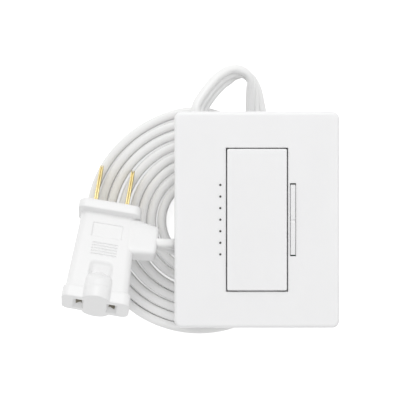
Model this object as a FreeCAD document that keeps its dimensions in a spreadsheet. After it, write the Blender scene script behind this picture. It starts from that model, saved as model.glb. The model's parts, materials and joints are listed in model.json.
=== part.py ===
# Plug-in lamp dimmer: a flat control plate on a tapered housing, its flat three-conductor
# cord wound in a coil beneath it, and a tap-through plug that lies on the coil.
# X runs to the right of the plate, Y to its top and Z out of its front. Millimetres.
import FreeCAD, Part
import Sketcher
import math
import os

os.makedirs("parts", exist_ok=True)
doc = FreeCAD.newDocument("lamp_dimmer")
Vector = FreeCAD.Vector

# Driving sizes
SIZES = [
    ("cover_seat", 7.4),
    ("plate_width", 65.6),
    ("plate_height", 86.0),
    ("plate_depth", 4.8),
    ("plate_corner", 3.0),
    ("plate_edge", 1.5),
    ("cover_wall", 1.8),
    ("front_wall", 2.2),
    ("fit_gap", 0.25),
    ("paddle_width", 23.7),
    ("paddle_height", 56.2),
    ("paddle_gap", 0.5),
    ("paddle_proud", 1.0),
    ("paddle_back", 1.0),
    ("paddle_wall", 1.5),
    ("paddle_bevel", 0.5),
    ("rocker_width", 1.95),
    ("rocker_length", 27.9),
    ("rocker_across", 14.3),
    ("rocker_gap", 0.2),
    ("rocker_end_gap", 0.55),
    ("rocker_proud", 0.3),
    ("led_across", 14.57),
    ("led_pitch", 4.593),
    ("led_count", 7),
    ("led_hole", 0.95),
    ("light_pipe", 0.8),
    ("housing_depth", 18.6),
    ("housing_width", 56.0),
    ("housing_height", 76.4),
    ("housing_taper", 5.2),
    ("housing_wall", 2.0),
    ("housing_corner", 3.5),
    ("flange_thick", 1.5),
    ("boss_side_inset", 11.0),
    ("boss_end_inset", 11.2),
    ("boss_across", "=housing_width - 2 * boss_side_inset"),
    ("boss_along", "=housing_height - 2 * boss_end_inset"),
    ("boss_size", 7.6),
    ("head_size", 4.8),
    ("head_height", 1.9),
    ("head_depth", 5.0),
    ("screw_size", 2.6),
    ("screw_gap", 0.1),
    ("board_side_gap", 2.0),
    ("board_end_gap", 5.7),
    ("board_width", "=housing_width - 2 * housing_wall - 2 * board_side_gap"),
    ("board_height", "=housing_height - 2 * housing_wall - 2 * board_end_gap"),
    ("board_thick", 1.6),
    ("board_drop", 3.4),
    ("frame_thick", 1.6),
    ("frame_drop", 0.1),
    ("bar_size", 1.6),
    ("bar_reach", 10.6),
    ("bar_drop", 1.9),
    ("bar_beyond", 1.6),
    ("pivot_gap", 0.05),
    ("pivot_size", 1.4),
    ("pivot_drop", 2.6),
    ("switch_height", 3.2),
    ("low_switch", 1.4),
    ("switch_can", 6.0),
    ("chip_width", 7.5),
    ("chip_length", 10.0),
    ("chip_height", 1.2),
    ("choke_ring", 6.2),
    ("choke_section", 2.7),
    ("choke_across", 8.0),
    ("choke_inset", 12.0),
    ("sink_gap", 0.2),
    ("sink_inset", 3.0),
    ("sink_middle", 4.0),
    ("sink_thick", 1.5),
    ("triac_width", 10.0),
    ("triac_length", 15.5),
    ("triac_case", 9.0),
    ("triac_thick", 4.5),
    ("triac_tab", 1.3),
    ("triac_inset", 2.0),
    ("capacitor_width", 6.0),
    ("capacitor_length", 13.0),
    ("capacitor_height", 9.0),
    ("capacitor_across", 12.0),
    ("capacitor_inset", 5.0),
    ("fuse_size", 4.4),
    ("fuse_length", 8.5),
    ("fuse_inset", 8.0),
    ("fuse_along", 6.0),
    ("foot_size", 7.0),
    ("foot_show", 2.0),
    ("foot_recess", 0.6),
    ("foot_across", 34.0),
    ("foot_along", 34.0),
    ("cord_thick", 3.8),
    ("cord_width", 9.2),
    ("relief_wall", 1.3),
    ("relief_across", 20.2),
    ("relief_back", 8.9),
    ("relief_length", 6.4),
    ("coil_radius", 46.1),
    ("coil_across", 22.63),
    ("coil_along", 0.29),
    ("hole_radius", 10.9),
    ("hole_across", 25.06),
    ("hole_along", 0.53),
    ("plug_across", 58.7),
    ("plug_along", 3.5),
    ("plug_turn", 9.55),
    ("plug_tilt", 25.0),
    ("blade_spacing", 12.7),
    ("blade_width", 6.35),
    ("blade_thick", 1.5),
    ("blade_length", 16.6),
    ("blade_root", 7.0),
    ("flange_width", 24.6),
    ("flange_depth", 11.5),
    ("flange_height", 3.2),
    ("neck_width", 21.8),
    ("neck_depth", 10.6),
    ("tail_width", 26.2),
    ("tail_depth", 12.0),
    ("body_length", 38.5),
    ("collar_width", 27.1),
    ("collar_depth", 12.8),
    ("collar_height", 2.9),
    ("plug_corner", 2.4),
    ("arm_reach", 20.3),
    ("arm_length", 13.0),
    ("arm_depth", 8.2),
    ("arm_place", 11.6),
    ("tunnel_radius", 8.0),
    ("tunnel_length", 16.0),
    ("slot_width", 2.0),
    ("slot_height", 7.2),
    ("slot_depth", 19.0),
    ("funnel_width", 4.3),
    ("funnel_height", 8.2),
    ("funnel_depth", 1.5),
]
sheet = doc.addObject("Spreadsheet::Sheet", "sizes")
for row, (alias, number) in enumerate(SIZES, 1):
    sheet.set("A%d" % row, alias)
    sheet.set("B%d" % row, str(number))
    sheet.setAlias("B%d" % row, alias)
doc.recompute()


def size(alias):
    return float(sheet.get(alias))


def bind(item, **sizes):
    for key, text in sizes.items():
        item.setExpression(key.replace("__", "."), text)


def new_body(name):
    body = doc.addObject("PartDesign::Body", name)
    body.Label = name
    return body


def plane(body, role):
    for feature in body.Origin.OriginFeatures:
        if feature.Role == role:
            return feature


# A sketch on one of its body's own planes, shifted in it and lifted off it
def sketch(body, name, role="XY_Plane", lift="0", across="0", up="0"):
    item = body.newObject("Sketcher::SketchObject", name)
    item.AttachmentSupport = (plane(body, role), [""])
    item.MapMode = "FlatFace"
    item.setExpression("AttachmentOffset.Base.x", across)
    item.setExpression("AttachmentOffset.Base.y", up)
    item.setExpression("AttachmentOffset.Base.z", lift)
    return item


def rectangle(item, width, height, guide=False):
    corners = [Vector(-5, -5, 0), Vector(5, -5, 0), Vector(5, 5, 0), Vector(-5, 5, 0)]
    first = item.GeometryCount
    for k in range(4):
        line = Part.LineSegment(corners[k], corners[(k + 1) % 4])
        item.addGeometry(line, guide)
    for k in range(4):
        item.addConstraint(Sketcher.Constraint("Coincident", first + k, 2, first + (k + 1) % 4, 1))
    for k in (0, 2):
        item.addConstraint(Sketcher.Constraint("Horizontal", first + k))
        item.addConstraint(Sketcher.Constraint("Vertical", first + k + 1))
    item.addConstraint(Sketcher.Constraint("Symmetric", first, 1, first + 2, 1, -1, 1))
    wide = item.addConstraint(Sketcher.Constraint("DistanceX", first, 1, first, 2, 10.0))
    item.renameConstraint(wide, "width%d" % first)
    tall = item.addConstraint(Sketcher.Constraint("DistanceY", first + 1, 1, first + 1, 2, 10.0))
    item.renameConstraint(tall, "height%d" % first)
    item.setExpression("Constraints.width%d" % first, width)
    item.setExpression("Constraints.height%d" % first, height)
    return first


# The same with its corners rounded
def soft_rectangle(item, width, height, radius):
    turn = math.pi / 2
    middles = [Vector(4, 4, 0), Vector(-4, 4, 0), Vector(-4, -4, 0), Vector(4, -4, 0)]
    for k, middle in enumerate(middles):
        ring = Part.Circle(middle, Vector(0, 0, 1), 1.0)
        item.addGeometry(Part.ArcOfCircle(ring, k * turn, (k + 1) * turn), False)
    sides = [(Vector(4, 5, 0), Vector(-4, 5, 0)), (Vector(-5, 4, 0), Vector(-5, -4, 0)),
             (Vector(-4, -5, 0), Vector(4, -5, 0)), (Vector(5, -4, 0), Vector(5, 4, 0))]
    for a, b in sides:
        item.addGeometry(Part.LineSegment(a, b), False)
    for k in range(4):
        item.addConstraint(Sketcher.Constraint("Tangent", k, 2, 4 + k, 1))
        item.addConstraint(Sketcher.Constraint("Tangent", 4 + k, 2, (k + 1) % 4, 1))
    for k in (0, 2):
        item.addConstraint(Sketcher.Constraint("Horizontal", 4 + k))
        item.addConstraint(Sketcher.Constraint("Vertical", 5 + k))
    for k in range(1, 4):
        item.addConstraint(Sketcher.Constraint("Equal", 0, k))
    item.addConstraint(Sketcher.Constraint("Symmetric", 0, 3, 2, 3, -1, 1))
    corner = item.addConstraint(Sketcher.Constraint("Radius", 0, 1.0))
    item.renameConstraint(corner, "corner")
    wide = item.addConstraint(Sketcher.Constraint("DistanceX", 5, 1, 7, 1, 10.0))
    item.renameConstraint(wide, "width")
    tall = item.addConstraint(Sketcher.Constraint("DistanceY", 6, 1, 4, 1, 10.0))
    item.renameConstraint(tall, "height")
    item.setExpression("Constraints.width", width)
    item.setExpression("Constraints.height", height)
    item.setExpression("Constraints.corner", radius)


def circle(item, diameter):
    here = item.addGeometry(Part.Circle(Vector(0, 0, 0), Vector(0, 0, 1), 1.0), False)
    item.addConstraint(Sketcher.Constraint("Coincident", here, 3, -1, 1))
    across = item.addConstraint(Sketcher.Constraint("Diameter", here, 2.0))
    item.renameConstraint(across, "diameter")
    item.setExpression("Constraints.diameter", diameter)


# Four equal circles on the corners of a rectangle
def corner_circles(item, width, height, diameter):
    first = rectangle(item, width, height, True)
    spots = [Vector(-5, -5, 0), Vector(5, -5, 0), Vector(5, 5, 0), Vector(-5, 5, 0)]
    rings = []
    for k in range(4):
        ring = item.addGeometry(Part.Circle(spots[k], Vector(0, 0, 1), 1.0), False)
        item.addConstraint(Sketcher.Constraint("Coincident", ring, 3, first + k, 1))
        rings.append(ring)
    across = item.addConstraint(Sketcher.Constraint("Diameter", rings[0], 2.0))
    item.renameConstraint(across, "diameter")
    item.setExpression("Constraints.diameter", diameter)
    for ring in rings[1:]:
        item.addConstraint(Sketcher.Constraint("Equal", rings[0], ring))


# A closed outline of straight lines, each corner placed from the sheet
def outline(item, points):
    count = len(points)
    for k in range(count):
        a = points[k]
        b = points[(k + 1) % count]
        item.addGeometry(Part.LineSegment(Vector(a[0], a[1], 0), Vector(b[0], b[1], 0)), False)
    for k in range(count):
        item.addConstraint(Sketcher.Constraint("Coincident", k, 2, (k + 1) % count, 1))


def pad(body, name, profile, length, back=False, both=False):
    item = body.newObject("PartDesign::Pad", name)
    item.Profile = (profile, [""])
    item.Reversed = back
    item.Midplane = both
    item.setExpression("Length", length)
    body.Tip = item
    return item


def pocket(body, name, profile, length, back=False):
    doc.recompute()
    before = body.Tip.Shape.Volume
    item = body.newObject("PartDesign::Pocket", name)
    item.Profile = (profile, [""])
    item.Reversed = back
    item.setExpression("Length", length)
    body.Tip = item
    doc.recompute()
    if item.Shape.Volume >= before - 1e-6:
        raise RuntimeError(name + " cuts nothing")
    return item


def loft(body, name, start, end, cut=False):
    kind = "PartDesign::SubtractiveLoft" if cut else "PartDesign::AdditiveLoft"
    item = body.newObject(kind, name)
    item.Profile = (start, [""])
    item.Sections = [(end, [""])]
    item.Ruled = True
    body.Tip = item
    return item


def round_edges(body, name, radius, choose):
    doc.recompute()
    base = body.Tip
    names = ["Edge%d" % (k + 1) for k, edge in enumerate(base.Shape.Edges) if choose(edge)]
    item = body.newObject("PartDesign::Fillet", name)
    item.Base = (base, names)
    item.setExpression("Radius", radius)
    body.Tip = item
    return item


def ends(edge):
    return edge.Vertexes[0].Point, edge.Vertexes[-1].Point


# Edges that run mainly along one axis, 0, 1 or 2
def along(axis, test=lambda low, high: True):
    def choose(edge):
        if len(edge.Vertexes) < 2:
            return False
        a, b = ends(edge)
        step = [abs(b[k] - a[k]) for k in range(3)]
        box = edge.BoundBox
        low = (box.XMin, box.YMin, box.ZMin)
        high = (box.XMax, box.YMax, box.ZMax)
        return step[axis] > 2.2 * max(step[k] for k in range(3) if k != axis) and test(low, high)
    return choose


# Edges that lie in the plane where one coordinate has the given value
def level(axis, value, test=lambda low, high: True):
    def choose(edge):
        box = edge.BoundBox
        low = (box.XMin, box.YMin, box.ZMin)
        high = (box.XMax, box.YMax, box.ZMax)
        flat = abs(low[axis] - value) < 0.01 and abs(high[axis] - value) < 0.01
        return flat and test(low, high)
    return choose


def block(name, length, width, height, x="0", y="0", z="0"):
    item = doc.addObject("Part::Box", name)
    bind(item, Length=length, Width=width, Height=height)
    item.setExpression("Placement.Base.x", x)
    item.setExpression("Placement.Base.y", y)
    item.setExpression("Placement.Base.z", z)
    return item


def rod(name, radius, height, x="0", y="0", z="0", turn=None):
    item = doc.addObject("Part::Cylinder", name)
    if turn:
        item.Placement = FreeCAD.Placement(Vector(0, 0, 0), turn)
    bind(item, Radius=radius, Height=height)
    item.setExpression("Placement.Base.x", x)
    item.setExpression("Placement.Base.y", y)
    item.setExpression("Placement.Base.z", z)
    return item


def compound(name, pieces):
    item = doc.addObject("Part::Compound", name)
    item.Label = name
    item.Links = pieces
    return item


def fused(name, pieces):
    item = doc.addObject("Part::MultiFuse", name)
    item.Label = name
    item.Shapes = pieces
    return item


TO_X = FreeCAD.Rotation(Vector(0, 1, 0), 90)
TO_Y = FreeCAD.Rotation(Vector(1, 0, 0), -90)
parts = []

# Levels that several pieces share, as expressions of the sheet
COVER_FRONT = "(sizes.cover_seat + sizes.plate_depth)"
WALL_BACK = "(sizes.cover_seat + sizes.plate_depth - sizes.front_wall)"
HOUSING_BACK = "(sizes.cover_seat - sizes.housing_depth)"
BOARD_FRONT = "(sizes.cover_seat - sizes.board_drop)"
BOARD_BACK = "(sizes.cover_seat - sizes.board_drop - sizes.board_thick)"
FRAME_FRONT = "(sizes.cover_seat - sizes.frame_drop)"
FRAME_BACK = "(sizes.cover_seat - sizes.frame_drop - sizes.frame_thick)"
BAR_LEVEL = "(sizes.cover_seat + sizes.plate_depth - sizes.front_wall - sizes.bar_drop + 0.3)"
BAR_ALONG = "(sizes.paddle_height / 2 + sizes.bar_beyond)"
PIVOT_LEVEL = "(sizes.cover_seat + sizes.plate_depth - sizes.front_wall - sizes.pivot_drop)"
HEAD_SEAT = "(sizes.cover_seat - sizes.housing_depth + sizes.head_depth)"

# Front cover: a shallow tray with a soft edge, the paddle opening, the rocker slot and a
# column of light holes
cover = new_body("front_cover")
face = sketch(cover, "cover_outline", lift="sizes.cover_seat")
rectangle(face, "sizes.plate_width", "sizes.plate_height")
pad(cover, "cover_block", face, "sizes.plate_depth")
round_edges(cover, "cover_corners", "sizes.plate_corner", along(2))
front = size("cover_seat") + size("plate_depth")
round_edges(cover, "cover_edge", "sizes.plate_edge", level(2, front))
tray = sketch(cover, "cover_tray", lift="sizes.cover_seat")
soft_rectangle(tray, "sizes.plate_width - 2 * sizes.cover_wall", "sizes.plate_height - 2 * sizes.cover_wall",
               "sizes.plate_corner - sizes.cover_wall")
pocket(cover, "cover_hollow", tray, "sizes.plate_depth - sizes.front_wall", True)
window = sketch(cover, "paddle_opening", lift=COVER_FRONT)
rectangle(window, "sizes.paddle_width + 2 * sizes.paddle_gap", "sizes.paddle_height + 2 * sizes.paddle_gap")
pocket(cover, "paddle_window", window, "sizes.plate_depth")
slot = sketch(cover, "rocker_opening", lift=COVER_FRONT, across="sizes.rocker_across")
rectangle(slot, "sizes.rocker_width + 2 * sizes.rocker_gap", "sizes.rocker_length + 2 * sizes.rocker_end_gap")
pocket(cover, "rocker_window", slot, "sizes.plate_depth")
dot = sketch(cover, "light_hole_place", lift=COVER_FRONT, across="-sizes.led_across",
             up="-sizes.led_pitch * (sizes.led_count - 1) / 2")
circle(dot, "sizes.led_hole")
holes = pocket(cover, "light_hole", dot, "sizes.plate_depth")
column = cover.newObject("PartDesign::LinearPattern", "light_holes")
column.Originals = [holes]
column.Direction = (dot, ["V_Axis"])
column.setExpression("Length", "sizes.led_pitch * (sizes.led_count - 1)")
column.setExpression("Occurrences", "sizes.led_count")
cover.Tip = column
parts.append(cover)

# Rear housing: side walls that slope in towards the back, a flange that the cover seats on,
# four screw towers, foot recesses and the cord's opening in the top wall
housing = new_body("rear_housing")
low = sketch(housing, "back_outline", lift=HOUSING_BACK)
soft_rectangle(low, "sizes.housing_width - 2 * sizes.housing_taper",
               "sizes.housing_height - 2 * sizes.housing_taper", "sizes.housing_corner")
high = sketch(housing, "seat_outline", lift="sizes.cover_seat")
soft_rectangle(high, "sizes.housing_width", "sizes.housing_height", "sizes.housing_corner")
loft(housing, "housing_block", low, high)
rim = sketch(housing, "flange_outline", lift="sizes.cover_seat")
soft_rectangle(rim, "sizes.plate_width - 2 * sizes.cover_wall - 2 * sizes.fit_gap",
               "sizes.plate_height - 2 * sizes.cover_wall - 2 * sizes.fit_gap",
               "sizes.plate_corner - sizes.cover_wall")
pad(housing, "flange", rim, "sizes.flange_thick")
inner_low = sketch(housing, "floor_outline", lift=HOUSING_BACK + " + sizes.housing_wall")
soft_rectangle(inner_low, "sizes.housing_width - 2 * sizes.housing_taper - 2 * sizes.housing_wall",
               "sizes.housing_height - 2 * sizes.housing_taper - 2 * sizes.housing_wall",
               "sizes.housing_corner - sizes.housing_wall")
inner_high = sketch(housing, "mouth_outline", lift="sizes.cover_seat + sizes.flange_thick")
soft_rectangle(inner_high, "sizes.housing_width - 2 * sizes.housing_wall",
               "sizes.housing_height - 2 * sizes.housing_wall", "sizes.housing_corner - sizes.housing_wall")
loft(housing, "housing_hollow", inner_low, inner_high, True)
towers = sketch(housing, "tower_places", lift=HOUSING_BACK + " + sizes.housing_wall / 2")
corner_circles(towers, "sizes.boss_across", "sizes.boss_along", "sizes.boss_size")
pad(housing, "screw_towers", towers,
    "sizes.housing_depth - sizes.board_drop - sizes.board_thick - sizes.housing_wall / 2")
wells = sketch(housing, "well_places", lift=HOUSING_BACK)
corner_circles(wells, "sizes.boss_across", "sizes.boss_along", "sizes.head_size + 0.4")
pocket(housing, "screw_wells", wells, "sizes.head_depth", True)
bores = sketch(housing, "bore_places", lift=HOUSING_BACK)
corner_circles(bores, "sizes.boss_across", "sizes.boss_along", "sizes.screw_size + 2 * sizes.screw_gap")
pocket(housing, "screw_bores", bores, "sizes.housing_depth", True)
dents = sketch(housing, "foot_places", lift=HOUSING_BACK)
corner_circles(dents, "sizes.foot_across", "sizes.foot_along", "sizes.foot_size")
pocket(housing, "foot_recesses", dents, "sizes.foot_recess", True)
RELIEF_LEVEL = "(sizes.cover_seat - sizes.relief_back)"
gate = sketch(housing, "cord_opening", "XZ_Plane", across="-sizes.relief_across", up=RELIEF_LEVEL,
              lift="-sizes.housing_height / 2 - 1")
rectangle(gate, "sizes.cord_thick + 2 * sizes.relief_wall", "sizes.cord_width + 2 * sizes.relief_wall")
pocket(housing, "cord_gate", gate, "sizes.housing_taper + sizes.housing_wall * 2 + 1", True)
parts.append(housing)

# Strain relief: a moulded collar that the flat cord leaves the top wall through
relief = new_body("strain_relief")
start = sketch(relief, "relief_outline", "XZ_Plane", across="-sizes.relief_across", up=RELIEF_LEVEL,
               lift="-sizes.housing_height / 2 + sizes.housing_taper + 1")
rectangle(start, "sizes.cord_thick + 2 * sizes.relief_wall", "sizes.cord_width + 2 * sizes.relief_wall")
pad(relief, "relief_block", start, "sizes.relief_length", True)
round_edges(relief, "relief_corners", "sizes.relief_wall", along(1))
parts.append(relief)

# Tap switch: a long shell that tips on a bar behind its top edge
paddle = new_body("tap_switch")
top = sketch(paddle, "paddle_outline", lift=WALL_BACK + " - sizes.paddle_back")
rectangle(top, "sizes.paddle_width", "sizes.paddle_height")
pad(paddle, "paddle_block", top, "sizes.front_wall + sizes.paddle_proud + sizes.paddle_back")
round_edges(paddle, "paddle_corners", "0.6", along(2))
proud = front + size("paddle_proud")
round_edges(paddle, "paddle_edge", "sizes.paddle_bevel", level(2, proud))
shell = sketch(paddle, "paddle_core", lift=WALL_BACK + " - sizes.paddle_back")
rectangle(shell, "sizes.paddle_width - 2 * sizes.paddle_wall", "sizes.paddle_height - 2 * sizes.paddle_wall")
pocket(paddle, "paddle_hollow", shell, "sizes.front_wall + sizes.paddle_proud + sizes.paddle_back - sizes.paddle_wall", True)
stem = sketch(paddle, "plunger_place", lift=WALL_BACK + " - sizes.paddle_back - 0.3", up="-sizes.paddle_height / 2 + 5")
circle(stem, "3.2")
pad(paddle, "plunger", stem, "sizes.front_wall + sizes.paddle_proud + sizes.paddle_back - sizes.paddle_wall + 0.6")
tongue = sketch(paddle, "tongue_place", "YZ_Plane", across=BAR_ALONG + " - 0.8", up=BAR_LEVEL)
rectangle(tongue, "sizes.bar_size * 0.5 + 3.2", "sizes.bar_size")
pad(paddle, "tongue", tongue, "2 * sizes.bar_reach - 5.6", both=True)
pin = sketch(paddle, "bar_place", "YZ_Plane", across=BAR_ALONG, up=BAR_LEVEL)
circle(pin, "sizes.bar_size")
pad(paddle, "hinge_bar", pin, "2 * sizes.bar_reach", both=True)
lip = sketch(paddle, "lip_place", lift=WALL_BACK + " - sizes.paddle_back", up="-sizes.paddle_height / 2 - 0.4")
rectangle(lip, "16", "2.4")
pad(paddle, "stop_lip", lip, "sizes.paddle_back - 0.4")
parts.append(paddle)

# Dimming rocker: two shallow ramps with a step between them, on a pivot at its middle
rocker = new_body("dim_rocker")
half = size("rocker_length") / 2
side = sketch(rocker, "rocker_side", "YZ_Plane", lift="sizes.rocker_across", up=WALL_BACK)
rise = size("front_wall") + size("rocker_proud")
base = -size("pivot_drop")
outline(side, [(-half, rise - 0.5), (-half, -0.6), (-2.2, base - 0.2), (2.2, base - 0.2), (half, -0.6),
               (half, rise - 0.9), (half - 0.9, rise), (0.1, rise - 0.45), (0.0, rise - 0.85), (-0.9, rise)])
for k, (wide, tall) in enumerate([(-half, rise - 0.5), (-half, -0.6), (-2.2, base - 0.2), (2.2, base - 0.2),
                                  (half, -0.6), (half, rise - 0.9), (half - 0.9, rise), (0.1, rise - 0.45),
                                  (0.0, rise - 0.85), (-0.9, rise)]):
    side.addConstraint(Sketcher.Constraint("Block", k))
pad(rocker, "rocker_bar", side, "sizes.rocker_width", both=True)
axle = sketch(rocker, "pivot_place", "YZ_Plane", lift="sizes.rocker_across", up=PIVOT_LEVEL)
circle(axle, "sizes.pivot_size")
pad(rocker, "pivot_pin", axle, "sizes.rocker_width + 3.4", both=True)
parts.append(rocker)

# Switch frame: the plate behind the cover that carries the paddle's bar and the rocker's pin
frame = new_body("switch_frame")
board = sketch(frame, "frame_outline", lift=FRAME_BACK)
soft_rectangle(board, "sizes.housing_width - 2 * sizes.housing_wall - 2.4",
               "sizes.housing_height - 2 * sizes.housing_wall - 2.4", "sizes.housing_corner - sizes.housing_wall")
pad(frame, "frame_plate", board, "sizes.frame_thick")
legs = sketch(frame, "leg_places", lift=BOARD_FRONT)
corner_circles(legs, "sizes.boss_across", "sizes.boss_along", "sizes.boss_size - 1.6")
pad(frame, "frame_legs", legs, "sizes.board_drop - sizes.frame_drop - sizes.frame_thick / 2")
pilots = sketch(frame, "pilot_places", lift=BOARD_FRONT)
corner_circles(pilots, "sizes.boss_across", "sizes.boss_along", "sizes.screw_size")
pocket(frame, "screw_pilots", pilots, "sizes.board_drop - sizes.frame_drop", True)
ears = sketch(frame, "bar_ears", lift=FRAME_FRONT, up=BAR_ALONG)
rectangle(ears, "2 * sizes.bar_reach + 0.6", "2.8")
pad(frame, "bar_rail", ears, "sizes.plate_depth - sizes.front_wall + sizes.frame_drop - 0.35")
bay = sketch(frame, "bar_bay", lift=FRAME_FRONT, up=BAR_ALONG)
rectangle(bay, "2 * sizes.bar_reach - 4.6", "4.4")
pocket(frame, "bar_gap", bay, "sizes.plate_depth", True)
seat = sketch(frame, "bar_seat", "YZ_Plane", across=BAR_ALONG, up=BAR_LEVEL, lift="-sizes.bar_reach - 1")
circle(seat, "sizes.bar_size + 2 * sizes.pivot_gap")
pocket(frame, "bar_bore", seat, "2 * sizes.bar_reach + 2", True)
press = sketch(frame, "press_window", lift=FRAME_FRONT, up="-sizes.paddle_height / 2 + 5")
rectangle(press, "8", "8")
pocket(frame, "press_hole", press, "sizes.board_drop")
tracks = sketch(frame, "pivot_block", lift=FRAME_FRONT, across="sizes.rocker_across")
rectangle(tracks, "sizes.rocker_width + 3.6", "3.4")
pad(frame, "pivot_ears", tracks, "sizes.plate_depth - sizes.front_wall + sizes.frame_drop - 1.7")
room = sketch(frame, "rocker_room", lift=COVER_FRONT, across="sizes.rocker_across")
rectangle(room, "sizes.rocker_width + 0.6", "sizes.rocker_length + 2")
pocket(frame, "rocker_gate", room, "sizes.plate_depth + sizes.board_drop")
turn = sketch(frame, "pivot_seat", "YZ_Plane", up=PIVOT_LEVEL, lift="sizes.rocker_across - 4")
circle(turn, "sizes.pivot_size + 2 * sizes.pivot_gap")
pocket(frame, "pivot_bore", turn, "8", True)
lamp = sketch(frame, "lamp_window", lift=COVER_FRONT, across="-sizes.led_across")
rectangle(lamp, "2.2", "sizes.led_pitch * (sizes.led_count - 1) + 2.2")
pocket(frame, "lamp_gate", lamp, "sizes.plate_depth + sizes.board_drop")
parts.append(frame)

# Circuit board with four screw holes
circuit = new_body("circuit_board")
sheet_face = sketch(circuit, "board_outline", lift=BOARD_BACK)
rectangle(sheet_face, "sizes.board_width", "sizes.board_height")
pad(circuit, "board", sheet_face, "sizes.board_thick")
drill = sketch(circuit, "board_holes", lift=BOARD_BACK)
corner_circles(drill, "sizes.boss_across", "sizes.boss_along", "sizes.screw_size + 2 * sizes.screw_gap")
pocket(circuit, "board_bores", drill, "sizes.board_thick", True)
parts.append(circuit)

# Light pipes: seven clear pins on one bar, each in its hole of the cover
pipes = [block("pipe_bar", "3.4", "sizes.led_pitch * (sizes.led_count - 1) + 3.4", "1.0",
               "-sizes.led_across - 1.7", "-sizes.led_pitch * (sizes.led_count - 1) / 2 - 1.7", FRAME_FRONT)]
for k in range(int(size("led_count"))):
    pipes.append(rod("pipe_%d" % k, "sizes.light_pipe / 2", "sizes.plate_depth + sizes.frame_drop - 0.35",
                     "-sizes.led_across", "sizes.led_pitch * (%d - (sizes.led_count - 1) / 2)" % k, FRAME_FRONT))
parts.append(fused("light_pipes", pipes))

# Light-emitting diodes on the board, one under each pipe
parts.append(compound("indicator_leds", [
    block("led_%d" % k, "1.6", "2.0", "1.1", "-sizes.led_across - 0.8",
          "sizes.led_pitch * (%d - (sizes.led_count - 1) / 2) - 1" % k, BOARD_FRONT)
    for k in range(int(size("led_count")))]))

# Tactile switches: one under the paddle's foot and one under each end of the rocker
buttons = []
for k, (x, y, tall) in enumerate([("0", "-sizes.paddle_height / 2 + 5", "sizes.switch_height"),
                                  ("sizes.rocker_across", "sizes.rocker_length / 2 - 3", "sizes.low_switch"),
                                  ("sizes.rocker_across", "-sizes.rocker_length / 2 + 3", "sizes.low_switch")]):
    can = block("switch_can_%d" % k, "sizes.switch_can", "sizes.switch_can", tall,
                x + " - sizes.switch_can / 2", y + " - sizes.switch_can / 2", BOARD_FRONT)
    cap = rod("switch_cap_%d" % k, "1.7" if k == 0 else "0.8",
              "sizes.switch_height + 0.5", x, y, BOARD_FRONT)
    buttons.append(fused("switch_%d" % k, [can, cap]))
parts.append(compound("tact_switches", buttons))

# Control chip on the front of the board
parts.append(block("control_chip", "sizes.chip_width", "sizes.chip_length", "sizes.chip_height",
                   "-sizes.chip_width / 2", "sizes.chip_length * 0.4", BOARD_FRONT))

# Power parts behind the board: choke, switching device on its heat sink, capacitor and fuse
coil_ring = doc.addObject("Part::Torus", "choke")
bind(coil_ring, Radius1="sizes.choke_ring", Radius2="sizes.choke_section")
coil_ring.setExpression("Placement.Base.x", "sizes.choke_across")
coil_ring.setExpression("Placement.Base.y", "sizes.boss_along / 2 - sizes.choke_inset")
coil_ring.setExpression("Placement.Base.z", BOARD_BACK + " - sizes.choke_section")
parts.append(coil_ring)
parts.append(block("heat_sink", "sizes.boss_across - sizes.boss_size - 2 * sizes.sink_gap",
                   "sizes.boss_along / 2 - sizes.sink_inset - sizes.sink_middle", "sizes.sink_thick",
                   "-sizes.boss_across / 2 + sizes.boss_size / 2 + sizes.sink_gap",
                   "-sizes.boss_along / 2 + sizes.sink_inset",
                   BOARD_BACK + " - sizes.triac_thick - sizes.sink_thick"))
tab_foot = "-sizes.boss_along / 2 + sizes.sink_inset + sizes.triac_inset"
parts.append(fused("triac", [
    block("triac_tab", "sizes.triac_width", "sizes.triac_length", "sizes.triac_tab", "-sizes.triac_width / 2",
          tab_foot, BOARD_BACK + " - sizes.triac_thick"),
    block("triac_case", "sizes.triac_width", "sizes.triac_case", "sizes.triac_thick", "-sizes.triac_width / 2",
          tab_foot + " + sizes.triac_length - sizes.triac_case", BOARD_BACK + " - sizes.triac_thick")]))
parts.append(block("filter_capacitor", "sizes.capacitor_width", "sizes.capacitor_length", "sizes.capacitor_height",
                   "-sizes.capacitor_across", "sizes.boss_along / 2 - sizes.capacitor_inset - sizes.capacitor_length",
                   BOARD_BACK + " - sizes.capacitor_height"))
parts.append(rod("fuse", "sizes.fuse_size / 2", "sizes.fuse_length", "sizes.board_width / 2 - sizes.fuse_inset",
                 "-sizes.fuse_along", BOARD_BACK + " - sizes.fuse_length"))

# Case screws, driven from the back through the towers and the board into the frame's legs
screws = []
for k, (sx, sy) in enumerate([(-1, -1), (1, -1), (1, 1), (-1, 1)]):
    head = rod("screw_head_%d" % k, "sizes.head_size / 2", "sizes.head_height",
               "%d * sizes.boss_across / 2" % sx, "%d * sizes.boss_along / 2" % sy, HEAD_SEAT + " - sizes.head_height")
    shank = rod("screw_shank_%d" % k, "sizes.screw_size / 2 - sizes.pivot_gap",
                "sizes.housing_depth - sizes.head_depth - sizes.frame_drop - 0.6 + sizes.head_height / 2",
                "%d * sizes.boss_across / 2" % sx, "%d * sizes.boss_along / 2" % sy,
                HEAD_SEAT + " - sizes.head_height / 2")
    screws.append(fused("screw_%d" % k, [head, shank]))
parts.append(compound("case_screws", screws))

# Rubber feet in their recesses
parts.append(compound("rubber_feet", [
    rod("foot_%d" % k, "sizes.foot_size / 2", "sizes.foot_show + sizes.foot_recess",
        "%d * sizes.foot_across / 2" % sx, "%d * sizes.foot_along / 2" % sy, HOUSING_BACK + " - sizes.foot_show")
    for k, (sx, sy) in enumerate([(-1, -1), (1, -1), (1, 1), (-1, 1)])]))

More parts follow.
